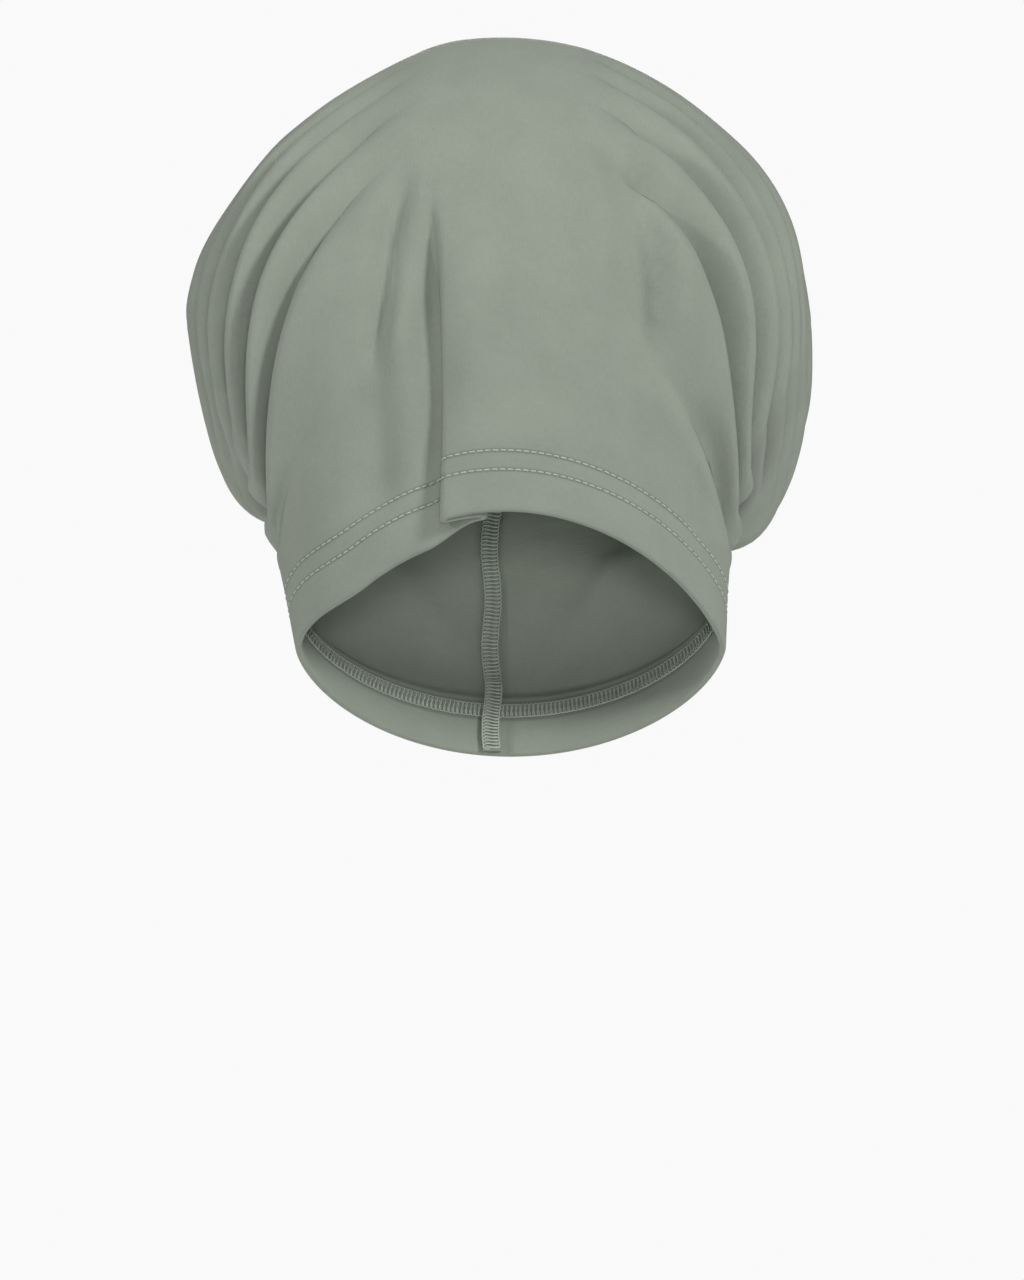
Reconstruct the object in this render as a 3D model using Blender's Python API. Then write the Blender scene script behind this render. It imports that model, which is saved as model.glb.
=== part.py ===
"""Open-ended knit head cap in its worn shape: a sewn jersey tube and its overlocked nape seam.

The tube bends over the head like an elbow. Its face end opens forwards, its rear end hangs open as a
flattened tail. Metres, +Z up, +Y towards the face, -Y the rear; the origin is on the inside of the
crown, where the cap rests on the head.
"""
import math

import bpy
import numpy as np

# Driving sizes
CAP_WIDTH = 0.217         # across the side folds
CAP_DEPTH = 0.242         # from the face hem to the back of the tail
CAP_HEIGHT = 0.250        # from the crown to the lowest point of the rear hem
WALL = 0.0012             # thickness of the jersey
HEM_LAYER = 0.0011        # second layer of cloth, turned in and stitched flat
HEM_SHARE = 0.066         # depth of each hem, as a share of the way along the tube
CLEARANCE = 0.0003        # gap between lapped layers, and under the seam strip
FOLD_HEIGHT = 0.0200      # depth of the deepest side fold, from its ridge to its valley
SWELL_HEIGHT = 0.0085     # height of the broad swells and dents in the table at 1
LAP_ROOM = 0.0006         # air between the pleat's layers
PLEAT_LAP = 0.010         # how far the right panel laps over the left
PLEAT_PLACE = 0.0195      # distance of the pleat's edge from the middle of the cap, to the left
PLEAT_START = 0.68        # where the pleat begins, as a share of the way along the tube
PLEAT_GROWTH = 0.22       # over which share of the way it forms
PLEAT_TURNED = 0.75       # by which share of that its turns have closed
PLEAT_LAPPING = 0.55      # from which share of that the panels begin to lap
PLEAT_SOFT_TURN = 0.005   # length of the pleat's turns where it runs out softly on the crown
PLEAT_RISE = 0.050        # width over which the lapped panel settles back onto the cap
PANEL_DROP = 0.007        # how much lower the left panel's hem hangs beside the pleat
DROP_START = 0.65         # from which share of the way along the tube the left panel hangs lower
DROP_AT_PLEAT = 0.25      # share of the drop where the left panel goes under the pleat
DROP_SIDE = 0.30          # how far round to the side the drop stays full, as a share of the way to the nape
DROP_SIDE_EASE = 0.20     # over which share it is gone
SEAM_WIDTH = 0.0060       # overlocked seam allowance
SEAM_THICKNESS = 0.0016
SEAM_PLACE = 0.0035       # distance of the seam from the middle of the cap, to the left
SEAM_WANDER = 0.0006      # how far the seam strip wanders from its line
SEAM_WAVES = 4.5          # how many times it wanders from side to side and back
RIM_ROUNDNESS = 0.35      # how far the cloth's cut ends bulge, as a share of their thickness
JERSEY_COLOUR = (0.245, 0.275, 0.225, 1.0)
CLOTH_ROUGHNESS = 0.85
SEAM_COLOUR = (0.270, 0.300, 0.250, 1.0)

# Mesh density
ROWS_PER_FOLD = 4
COLUMNS_EACH_SIDE = 17
TURN_STEPS = 3
LAP_STEPS = 1
COLUMN_CROWDING = 0.055   # how much closer the columns are where the folds are deep
EDGE_ROW = 0.02           # rows on both sides of each hem's edge, as a share of the hem's depth
FRAME_STEP = 0.004        # step over which the tube's directions are measured, as a share of its length

# Sections across the tube, from the face hem (0) to the rear hem (1). Depths are shares of CAP_DEPTH from
# the crown's top, heights are shares of CAP_HEIGHT below it, half widths and sways are shares of CAP_WIDTH.
# waist: where the section is widest, between nape (0) and crown (1); crown_bend and nape_bend: 1 is round,
# less is squarer, more is pointed at the sides; the lifts are how much the middle of the nape arches up
# over its left and right corners, as shares of CAP_HEIGHT.
SECTIONS = [
    # along, crown_depth, crown_height, nape_depth, nape_height, half_width, sway,
    # waist, crown_bend, nape_bend, lift_left, lift_right
    (0.00, 0.339, -0.180, -0.198, -0.752, 0.341, 0.000, 0.50, 1.00, 0.95, 0.000, 0.000),
    (0.10, 0.298, -0.080, -0.215, -0.712, 0.390, 0.000, 0.44, 1.00, 0.90, 0.040, 0.040),
    (0.22, 0.174, -0.016, -0.236, -0.672, 0.434, 0.000, 0.40, 1.00, 0.85, 0.110, 0.120),
    (0.36, 0.000, 0.000, -0.264, -0.644, 0.474, 0.000, 0.37, 1.00, 0.80, 0.165, 0.190),
    (0.50, -0.207, -0.012, -0.293, -0.636, 0.484, 0.000, 0.37, 1.00, 0.80, 0.175, 0.220),
    (0.62, -0.401, -0.104, -0.322, -0.640, 0.474, 0.000, 0.41, 1.00, 0.80, 0.160, 0.235),
    (0.73, -0.545, -0.264, -0.347, -0.664, 0.440, 0.000, 0.48, 1.00, 0.88, 0.100, 0.172),
    (0.82, -0.607, -0.416, -0.368, -0.744, 0.386, -0.004, 0.50, 1.10, 1.00, 0.024, 0.030),
    (0.91, -0.628, -0.544, -0.380, -0.888, 0.350, 0.004, 0.47, 1.35, 1.10, 0.000, 0.000),
    (1.00, -0.645, -0.668, -0.446, -0.996, 0.331, 0.014, 0.45, 1.50, 1.24, 0.000, 0.000),
]
CORNER_EASE = 0.20        # how gradually the nape's corners turn down, as a share of the lift
CORNER_SQUARE = 1.75      # how much a nape bend below 1 fills out the nape's corners

# Gathers: the ridge of each side fold runs from its place on the crown's middle line, where it is flat, down
# both sides, where it is deepest and swept back towards the tail, and dies out at the nape. Places are
# shares of the way along the tube, heights are shares of FOLD_HEIGHT.
GATHERS = [
    # on_crown, on_left, on_right, left_height, right_height
    (HEM_SHARE, HEM_SHARE, HEM_SHARE, 0.00, 0.00),
    (0.135, 0.155, 0.155, 0.25, 0.25),
    (0.200, 0.250, 0.250, 0.40, 0.40),
    (0.260, 0.345, 0.345, 0.55, 0.55),
    (0.315, 0.435, 0.435, 0.75, 0.65),
    (0.370, 0.525, 0.525, 0.90, 0.75),
    (0.425, 0.610, 0.610, 1.00, 0.90),
    (0.480, 0.685, 0.685, 1.00, 0.90),
    (0.530, 0.748, 0.748, 0.95, 1.00),
    (0.575, 0.802, 0.800, 0.75, 1.00),
    (0.630, 0.848, 0.848, 0.55, 0.90),
    (0.695, 0.886, 0.886, 0.25, 0.60),
    (0.855, 0.914, 0.914, 0.00, 0.00),
    (1 - HEM_SHARE, 1 - HEM_SHARE, 1 - HEM_SHARE, 0.00, 0.00),
]
VALLEY_DEPTH = 0.55       # how much of each fold's height lies inside the plain tube, as a valley
VALLEY_SHARE = 0.62       # where a valley lies between two ridges, from the face side one to the rear one
VALLEY_SHARPNESS = 0.65   # 1 is round, less is a rounder ridge over a sharper valley
STEEPEST_FOLD = 0.90      # greatest depth of a fold, as a share of the room between its ridges
FOLD_ROOM = 0.0065        # distance between ridges at which no fold is left
FOLD_LEAN = 0.30          # how far a ridge leans over the valley before it, as a share of its height
SWEEP_START = 0.08        # how far round from the crown the folds begin to sweep back
SWEEP_FULL = 0.48         # where they have come to their places on the sides
SWEEP_END = 0.93          # where the rows of cloth are back in their places, short of the nape
SWEEP_POWER = 1.5         # 1 sweeps evenly, more sweeps later
GATHER_START = 0.08       # how far round from the crown the folds begin, as a share of the way to the nape
GATHER_FULL = 0.34        # where they are deepest
GATHER_EASE = 0.50        # where they begin to die out
GATHER_END = 0.76         # where they have died out

# Broad swells (+) and dents (-): centre and reach around and along, height as a share of SWELL_HEIGHT.
SWELLS = [
    # around, along, around_reach, along_reach, height
    (-0.25, 0.42, 0.21, 0.34, -1.05),
    (-0.38, 0.42, 0.12, 0.34, -0.55),
    (0.25, 0.42, 0.165, 0.32, -0.64),
    (0.20, 0.80, 0.07, 0.12, -0.25),
    (-0.56, 0.55, 0.18, 0.40, -0.20),
    (0.44, 0.55, 0.16, 0.30, -0.50),
]


def remove_scene_objects():
    for old in list(bpy.data.objects):
        bpy.data.objects.remove(old, do_unlink=True)


def ease(value):
    """0 below 0, 1 above 1, smooth between."""
    t = np.clip(value, 0.0, 1.0)
    return t * t * (3.0 - 2.0 * t)


def through(knots, values, x):
    """Smooth curve through a column of values, carried on straight past both ends."""
    slopes = np.gradient(values, knots)
    i = np.clip(np.searchsorted(knots, x, side="right") - 1, 0, len(knots) - 2)
    span = knots[i + 1] - knots[i]
    t = np.clip((x - knots[i]) / span, 0.0, 1.0)
    bend = span * (t * (1 - t) ** 2 * slopes[i] - t * t * (1 - t) * slopes[i + 1])
    past = (x - np.clip(x, knots[0], knots[-1])) * np.where(x > knots[-1], slopes[-1], slopes[0])
    return values[i] + t * t * (3 - 2 * t) * (values[i + 1] - values[i]) + bend + past


TABLE = np.array(SECTIONS)
SCALES = (1.0, CAP_DEPTH, CAP_HEIGHT, CAP_DEPTH, CAP_HEIGHT, CAP_WIDTH, CAP_WIDTH, 1.0, 1.0, 1.0, CAP_HEIGHT,
          CAP_HEIGHT)


def section(along):
    """The section table's columns after the first, in metres, at each place along the tube."""
    return [through(TABLE[:, 0], TABLE[:, k] * SCALES[k], along) for k in range(1, TABLE.shape[1])]


def sway(along):
    return section(along)[5]


def section_point(angle, along):
    """Point of the plain tube at an angle from the crown (0) to the nape (pi), before any fold."""
    crown_y, crown_z, nape_y, nape_z, half, aside, waist, crown_bend, nape_bend, left, right = section(along)
    lift = np.where(angle < 0, left, right)
    height = np.hypot(crown_y - nape_y, crown_z - nape_z)
    up_y = (crown_y - nape_y) / height
    up_z = (crown_z - nape_z) / height
    upward = np.abs(np.cos(angle))
    outward = np.abs(np.sin(angle))
    above = np.abs(angle) <= math.pi / 2
    x = half * np.where(above, outward, outward ** np.minimum(1.0, nape_bend))
    squared = 1 + CORNER_SQUARE * np.maximum(0.0, 1 - nape_bend) * (1 - upward)
    below = lift * upward ** 4 - (waist * height + lift) * squared * upward ** np.maximum(1.0, nape_bend)
    rise = waist * height + np.where(above, (1 - waist) * height * upward ** crown_bend, below)
    hang = (rise - np.hypot(rise, CORNER_EASE * lift)) / 2
    stand = rise - hang
    return np.stack([x * np.sign(angle) + aside, nape_y + stand * up_y,
                     nape_z + stand * up_z + hang + WALL / 2], -1)


ALONG_KNOTS = np.linspace(0.0, 1.05, 64)
SHARES = np.linspace(0.0, 1.0, 181)
ANGLES = np.linspace(0.0, math.pi, 361)
SIDES = {}
for way in (-1, 1):
    rings = section_point(way * ANGLES[None, :] + 0 * ALONG_KNOTS[:, None], ALONG_KNOTS[:, None])
    runs = np.cumsum(np.linalg.norm(np.diff(rings, axis=1, prepend=rings[:, :1]), axis=2), axis=1)
    SIDES[way] = runs[:, -1], np.array([np.interp(SHARES, run / run[-1], ANGLES) for run in runs])


def half_girth(along, way):
    """Length from the crown's middle line down the right (1) or left (-1) side to the nape's."""
    return np.interp(along, ALONG_KNOTS, SIDES[way][0])


def plain(around, along):
    """Point of the plain tube; around runs by length from the crown (0) to the nape (1 right, -1 left)."""
    around = np.where(np.abs(around) > 1, around - 2 * np.sign(around), around)
    row = np.clip(along / ALONG_KNOTS[-1], 0.0, 1.0) * (len(ALONG_KNOTS) - 1)
    column = np.abs(around) * (len(SHARES) - 1)
    i = np.minimum(row.astype(int), len(ALONG_KNOTS) - 2)
    j = np.minimum(column.astype(int), len(SHARES) - 2)
    p, q = row - i, column - j
    angle = 0
    for way, (_, table) in SIDES.items():
        near = table[i, j] * (1 - q) + table[i, j + 1] * q
        far = table[i + 1, j] * (1 - q) + table[i + 1, j + 1] * q
        angle = np.where(np.sign(around) == way, way * (near * (1 - p) + far * p), angle)
    return section_point(angle, along)


def unit(vectors):
    return vectors / np.maximum(np.linalg.norm(vectors, axis=-1, keepdims=True), 1e-9)


def plain_frame(around, along):
    """The plain tube's point, its outward direction and its direction towards the rear hem."""
    beside = plain(around + FRAME_STEP, along) - plain(around - FRAME_STEP, along)
    behind = plain(around, along + FRAME_STEP) - plain(around, np.maximum(along - FRAME_STEP, 0.0))
    return plain(around, along), unit(np.cross(behind, beside)), unit(behind)


def gather(column, ridge):
    """One column of the gather table at a place counted in ridges, smooth between them."""
    table = np.array(GATHERS)
    return through(np.arange(len(table)), table[:, column], ridge)


def fold_height(around, ridge, pitch):
    """How far the cloth stands out of the plain tube in the gathers, given the ridges' distance."""
    between = ridge - np.floor(ridge)
    rising = ease((between - VALLEY_SHARE) / (1 - VALLEY_SHARE))
    wave = np.where(between < VALLEY_SHARE, 1 - ease(between / VALLEY_SHARE), rising) ** VALLEY_SHARPNESS
    heights = np.array(GATHERS)[:, 3:]
    count = np.arange(len(heights))
    height = np.where(around < 0, np.interp(ridge, count, heights[:, 0]), np.interp(ridge, count, heights[:, 1]))
    reach = np.abs(around)
    grown = ease((reach - GATHER_START) / (GATHER_FULL - GATHER_START))
    faded = 1 - ease((reach - GATHER_EASE) / (GATHER_END - GATHER_EASE))
    free = FOLD_HEIGHT * height * grown * faded
    most = STEEPEST_FOLD * np.maximum(pitch - FOLD_ROOM, CLEARANCE)
    return (wave - VALLEY_DEPTH) * free / (1 + (free / most) ** 4) ** 0.25


def swell_height(around, along):
    """How far the cloth stands out of the plain tube in its broad swells and dents."""
    total = np.zeros(np.broadcast(around, along).shape)
    for centre_around, centre_along, around_reach, along_reach, height in SWELLS:
        off = np.hypot((around - centre_around) / around_reach, (along - centre_along) / along_reach)
        total += height * SWELL_HEIGHT * (1 - ease(off))
    return total


def inner_depth(along):
    """Depth of the cloth inside the middle of its outer layer: one layer, and two within each hem."""
    within_hem = (along < HEM_SHARE) | (along > 1 - HEM_SHARE)
    return WALL / 2 + np.where(within_hem, HEM_LAYER, 0.0)


def pleat_path(along):
    """The lapped pleat seen end on, from the right panel to the left: run around and height, for each row.

    It is one strip that turns back under the right panel, runs to the right by the lap, and turns again.
    Towards the crown the turns open and lengthen, until the pleat is only a soft wave, and then flat.
    """
    grown = (along - PLEAT_START) / PLEAT_GROWTH
    turn = (math.pi * ease(grown / PLEAT_TURNED))[:, None]
    lap = (PLEAT_LAP * ease((grown - PLEAT_LAPPING) / (1 - PLEAT_LAPPING)) + CLEARANCE)[:, None]
    tight = ease(grown)
    near_hem = ease((along - (1 - 2 * HEM_SHARE)) / HEM_SHARE)
    over_pitch = WALL + LAP_ROOM + 2 * HEM_LAYER * near_hem
    under_pitch = WALL + CLEARANCE
    over_turn = (PLEAT_SOFT_TURN * (1 - tight) + math.pi / 2 * over_pitch * tight)[:, None]
    under_turn = (PLEAT_SOFT_TURN * (1 - tight) + math.pi / 2 * under_pitch * tight)[:, None]
    middles = (np.arange(TURN_STEPS) + 0.5) / TURN_STEPS
    flat = np.ones(LAP_STEPS)
    heading = turn * np.concatenate([middles, flat, 1 - middles])
    length = np.concatenate([over_turn * np.ones(TURN_STEPS) / TURN_STEPS, lap * flat / LAP_STEPS,
                             under_turn * np.ones(TURN_STEPS) / TURN_STEPS], axis=1)
    start = np.zeros((len(along), 1))
    run = np.concatenate([start, -np.cumsum(length * np.cos(heading), axis=1)], axis=1)
    height = np.concatenate([start, -np.cumsum(length * np.sin(heading), axis=1)], axis=1)
    edge = -(PLEAT_PLACE + sway(along))[:, None] + over_turn / math.pi
    return edge + run, height - height[:, -1:]


def side_spread(count):
    """Column places from 0 to 1, closer together half way down the sides, where the folds are deep."""
    share = np.linspace(0.0, 1.0, count + 1)
    return share + COLUMN_CROWDING * np.sin(2 * math.pi * share)


def row_places():
    """Rows counted in ridges, evenly from ridge to ridge but with one in each valley's bottom. The hems
    lie before the first ridge and after the last, with a close row where their second layer ends."""
    before = np.linspace(0.0, VALLEY_SHARE, ROWS_PER_FOLD // 2, endpoint=False)
    after = np.linspace(VALLEY_SHARE, 1.0, ROWS_PER_FOLD - ROWS_PER_FOLD // 2, endpoint=False)
    fold = np.concatenate([before, after])
    last = len(GATHERS) - 1
    folds = [k + share for k in range(last) for share in fold]
    return np.array([-1.0, -0.5, -EDGE_ROW] + folds + [last, last + EDGE_ROW, last + 0.5, last + 1.0])


def cloth_middle():
    """Grid of points in the middle of the outer layer of cloth (rows along, columns around from the seam
    over the right side, the pleat and the left side back to the seam), and each point's place along."""
    ridge = row_places()
    last = len(GATHERS) - 1
    before, beyond = np.minimum(ridge, 0.0), np.maximum(ridge - last, 0.0)
    within = ridge - before - beyond
    rows, on_left, on_right = [gather(k, within) + HEM_SHARE * (before + beyond) for k in range(3)]
    girth = half_girth(rows, -1)[:, None]
    runs, heights = pleat_path(rows)
    pleat = runs / girth
    seam = 1 + (SEAM_PLACE + sway(rows))[:, None] / girth
    spread = side_spread(COLUMNS_EACH_SIDE)
    beyond_lap = pleat[:, :1] + PLEAT_LAP / girth
    right = beyond_lap + (seam - beyond_lap) * spread[None, ::-1]
    left = pleat[:, -1:] + (seam - 2 - pleat[:, -1:]) * spread[None, 1:-1]
    around = np.concatenate([right, pleat, left], axis=1)

    settled = ease((right - pleat[:, :1]) * girth / PLEAT_RISE)
    raised = np.concatenate([heights[:, :1] * (1 - settled), heights, 0 * left], axis=1)
    tucked = np.linspace(0.0, DROP_AT_PLEAT, pleat.shape[1]) + 0 * pleat
    clear = DROP_AT_PLEAT + (1 - DROP_AT_PLEAT) * ease((pleat[:, -1:] - left) * girth / (2 * PLEAT_LAP))
    clear = clear * (1 - ease((-left - DROP_SIDE) / DROP_SIDE_EASE))
    fall = np.concatenate([0 * right, tucked, clear], axis=1)
    fall = fall * PANEL_DROP * ease((rows[:, None] - DROP_START) / (1 - DROP_START))

    around = np.where(around > 1, around - 2, around)
    down = np.abs(around)
    swept = np.clip((down - SWEEP_START) / (SWEEP_FULL - SWEEP_START), 0.0, 1.0) ** SWEEP_POWER
    swept = swept * (1 - ease((down - SWEEP_FULL) / (SWEEP_END - SWEEP_FULL)))
    on_side = np.where(around < 0, on_left[:, None], on_right[:, None])
    along = rows[:, None] * (1 - swept) + on_side * swept

    point, outward, behind = plain_frame(around, along)
    pitch = np.linalg.norm(np.gradient(point, ridge, axis=0), axis=-1)
    fold = fold_height(around, within[:, None], pitch)
    outstanding = raised + fold + swell_height(around, along)
    upright = ease((np.abs(around) - GATHER_FULL) / (GATHER_EASE - GATHER_FULL))
    rearward = fall - FOLD_LEAN * (1 - upright) * fold
    return point + outward * outstanding[..., None] + behind * rearward[..., None], along


def outward_directions(grid):
    """Outward direction at each point of a closed grid, from its neighbours."""
    beside = np.roll(grid, -1, axis=1) - np.roll(grid, 1, axis=1)
    behind = np.gradient(grid, axis=0)
    return unit(np.cross(beside, behind))


def skin(count, size, outer_count):
    """Triangles of a closed band of rings, each of the same size, whose last ring meets its first. Past the
    outer rings, on the inner face, they are cut along the same diagonals as the outer ones behind them."""
    faces = []
    for i in range(count):
        for j in range(size):
            a, b = i * size + j, i * size + (j + 1) % size
            c, d = ((i + 1) % count) * size + (j + 1) % size, ((i + 1) % count) * size + j
            faces += [(a, b, c), (a, c, d)] if i < outer_count else [(a, b, d), (b, c, d)]
    return faces


def add_piece(name, points, faces, colour):
    mesh = bpy.data.meshes.new(name)
    mesh.from_pydata([tuple(point) for point in points.tolist()], [], faces)
    mesh.update()
    mesh.shade_smooth()
    material = bpy.data.materials.new(name)
    material.use_nodes = True
    shader = material.node_tree.nodes["Principled BSDF"]
    shader.inputs["Base Color"].default_value = colour
    shader.inputs["Roughness"].default_value = CLOTH_ROUGHNESS
    shader.inputs["Metallic"].default_value = 0.0
    mesh.materials.append(material)
    piece = bpy.data.objects.new(name, mesh)
    bpy.context.collection.objects.link(piece)
    return piece


def rim_ring(outer, inner, before):
    """Ring that rounds a rim between the last outer and inner rings."""
    middle = (outer + inner) / 2
    away = unit(outer - before)
    return middle + away * np.linalg.norm(outer - inner, axis=1, keepdims=True) * RIM_ROUNDNESS


def add_jersey_tube():
    """The tube: outer face, rounded rear rim, inner face with its two hems, rounded face rim."""
    middle, along = cloth_middle()
    outward = outward_directions(middle)
    outer = middle + outward * WALL / 2
    inner = middle - outward * inner_depth(along)[..., None]
    rear_rim = rim_ring(outer[-1], inner[-1], outer[-2])
    face_rim = rim_ring(outer[0], inner[0], outer[1])
    rings = np.concatenate([outer, rear_rim[None], inner[::-1], face_rim[None]])
    faces = skin(len(rings), rings.shape[1], len(outer))
    add_piece("jersey_tube", rings.reshape(-1, 3), faces, JERSEY_COLOUR)
    return inner, outward, inner_depth(along[:, 0])


def add_nape_seam(inner, outward, depth):
    """The seam allowance: a flat strip on the inside of the nape, from rim to rim over both hems. It climbs
    onto each hem one row before the hem's edge."""
    climb = np.maximum(depth, np.maximum(np.roll(depth, 1), np.roll(depth, -1))) - depth
    spine = inner[:, 0]
    right_way = unit(inner[:, 1] - spine)
    left_way = unit(inner[:, -1] - spine)
    wander = SEAM_WANDER * np.sin(np.linspace(0.0, 2 * math.pi * SEAM_WAVES, len(spine)))[:, None]
    right = spine + right_way * (SEAM_WIDTH / 2 - wander)
    left = spine + left_way * (SEAM_WIDTH / 2 + wander)
    inward = -outward[:, 0]
    under = CLEARANCE + climb[:, None]
    strips = [line + inward * under for line in (left, spine, right)]
    strips += [line + inward * (under + SEAM_THICKNESS) for line in (right, spine, left)]
    rings = np.stack(strips, axis=1)
    count, size = rings.shape[:2]
    faces = skin(count, size, count)[:2 * (count - 1) * size]
    faces.append(tuple(range(size - 1, -1, -1)))
    faces.append(tuple((count - 1) * size + k for k in range(size)))
    add_piece("nape_seam", rings.reshape(-1, 3), faces, SEAM_COLOUR)


remove_scene_objects()
inner_face, outward_way, cloth_depth = add_jersey_tube()
add_nape_seam(inner_face, outward_way, cloth_depth)
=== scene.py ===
"""The open-ended knit head cap as it looks when worn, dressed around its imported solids."""
import math

import bpy
import numpy as np
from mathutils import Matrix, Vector


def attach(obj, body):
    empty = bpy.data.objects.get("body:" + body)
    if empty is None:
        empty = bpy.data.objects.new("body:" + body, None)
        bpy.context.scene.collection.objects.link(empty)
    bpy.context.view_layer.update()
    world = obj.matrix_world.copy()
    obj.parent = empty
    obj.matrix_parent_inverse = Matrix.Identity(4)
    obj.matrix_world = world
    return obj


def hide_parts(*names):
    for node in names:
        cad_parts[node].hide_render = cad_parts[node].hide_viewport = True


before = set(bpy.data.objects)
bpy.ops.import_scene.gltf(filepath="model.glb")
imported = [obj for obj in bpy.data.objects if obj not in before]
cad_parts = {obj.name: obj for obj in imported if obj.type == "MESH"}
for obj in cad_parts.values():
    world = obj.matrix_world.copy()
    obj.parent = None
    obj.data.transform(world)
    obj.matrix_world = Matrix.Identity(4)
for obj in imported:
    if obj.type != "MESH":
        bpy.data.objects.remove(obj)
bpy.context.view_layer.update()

# The jersey
# One piece of sage-green single jersey, about 1.2 mm thick, sewn into a tube that is open at both ends. Worn,
# it is stretched smooth over the crown, gathered in folds down both sides, and hangs behind as a flattened
# tail, whose right panel laps over the left one in a pleat.
CAP_WIDTH = 0.217         # across the side folds
CAP_DEPTH = 0.242         # from the face hem to the back of the tail
CAP_HEIGHT = 0.250        # from the crown to the lowest point of the rear hem
WALL = 0.0012             # thickness of the jersey
HEM_LAYER = 0.0011        # second layer of cloth, turned in and stitched flat
HEM_SHARE = 0.066         # depth of each hem, as a share of the way along the tube
CLEARANCE = 0.0003        # gap between lapped layers, and under the seam strip
FOLD_HEIGHT = 0.0200      # depth of the deepest side fold, from its ridge to its valley
SWELL_HEIGHT = 0.0085     # height of the broad swells and dents in the table at 1
LAP_ROOM = 0.0006         # air between the pleat's layers
PLEAT_LAP = 0.010         # how far the right panel laps over the left
PLEAT_PLACE = 0.0195      # distance of the pleat's edge from the middle of the cap, to the left
PLEAT_START = 0.68        # where the pleat begins, as a share of the way along the tube
PLEAT_GROWTH = 0.22       # over which share of the way it forms
PLEAT_TURNED = 0.75       # by which share of that its turns have closed
PLEAT_LAPPING = 0.55      # from which share of that the panels begin to lap
PLEAT_SOFT_TURN = 0.005   # length of the pleat's turns where it runs out softly on the crown
PLEAT_RISE = 0.050        # width over which the lapped panel settles back onto the cap
PANEL_DROP = 0.007        # how much lower the left panel's hem hangs beside the pleat
DROP_START = 0.65         # from which share of the way along the tube the left panel hangs lower
DROP_AT_PLEAT = 0.25      # share of the drop where the left panel goes under the pleat
DROP_SIDE = 0.30          # how far round to the side the drop stays full, as a share of the way to the nape
DROP_SIDE_EASE = 0.20     # over which share it is gone
SEAM_WIDTH = 0.0060       # overlocked seam allowance
SEAM_THICKNESS = 0.0016
SEAM_PLACE = 0.0035       # distance of the seam from the middle of the cap, to the left
SEAM_WANDER = 0.0006      # how far the seam strip wanders from its line
SEAM_WAVES = 4.5          # how many times it wanders from side to side and back

ROWS_PER_FOLD = 14
COLUMNS_EACH_SIDE = 104
TURN_STEPS = 8
LAP_STEPS = 6
COLUMN_CROWDING = 0.055   # how much closer the columns are where the folds are deep
EDGE_ROW = 0.02           # rows on both sides of each hem's edge, as a share of the hem's depth
FRAME_STEP = 0.004        # step over which the tube's directions are measured, as a share of its length

# Sections across the tube, from the face hem (0) to the rear hem (1). Depths are shares of CAP_DEPTH from
# the crown's top, heights are shares of CAP_HEIGHT below it, half widths and sways are shares of CAP_WIDTH.
# waist: where the section is widest, between nape (0) and crown (1); crown_bend and nape_bend: 1 is round,
# less is squarer, more is pointed at the sides; the lifts are how much the middle of the nape arches up
# over its left and right corners, as shares of CAP_HEIGHT.
SECTIONS = [
    # along, crown_depth, crown_height, nape_depth, nape_height, half_width, sway,
    # waist, crown_bend, nape_bend, lift_left, lift_right
    (0.00, 0.339, -0.180, -0.198, -0.752, 0.341, 0.000, 0.50, 1.00, 0.95, 0.000, 0.000),
    (0.10, 0.298, -0.080, -0.215, -0.712, 0.390, 0.000, 0.44, 1.00, 0.90, 0.040, 0.040),
    (0.22, 0.174, -0.016, -0.236, -0.672, 0.434, 0.000, 0.40, 1.00, 0.85, 0.110, 0.120),
    (0.36, 0.000, 0.000, -0.264, -0.644, 0.474, 0.000, 0.37, 1.00, 0.80, 0.165, 0.190),
    (0.50, -0.207, -0.012, -0.293, -0.636, 0.484, 0.000, 0.37, 1.00, 0.80, 0.175, 0.220),
    (0.62, -0.401, -0.104, -0.322, -0.640, 0.474, 0.000, 0.41, 1.00, 0.80, 0.160, 0.235),
    (0.73, -0.545, -0.264, -0.347, -0.664, 0.440, 0.000, 0.48, 1.00, 0.88, 0.100, 0.172),
    (0.82, -0.607, -0.416, -0.368, -0.744, 0.386, -0.004, 0.50, 1.10, 1.00, 0.024, 0.030),
    (0.91, -0.628, -0.544, -0.380, -0.888, 0.350, 0.004, 0.47, 1.35, 1.10, 0.000, 0.000),
    (1.00, -0.645, -0.668, -0.446, -0.996, 0.331, 0.014, 0.45, 1.50, 1.24, 0.000, 0.000),
]
CORNER_EASE = 0.20        # how gradually the nape's corners turn down, as a share of the lift
CORNER_SQUARE = 1.75      # how much a nape bend below 1 fills out the nape's corners

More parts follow.
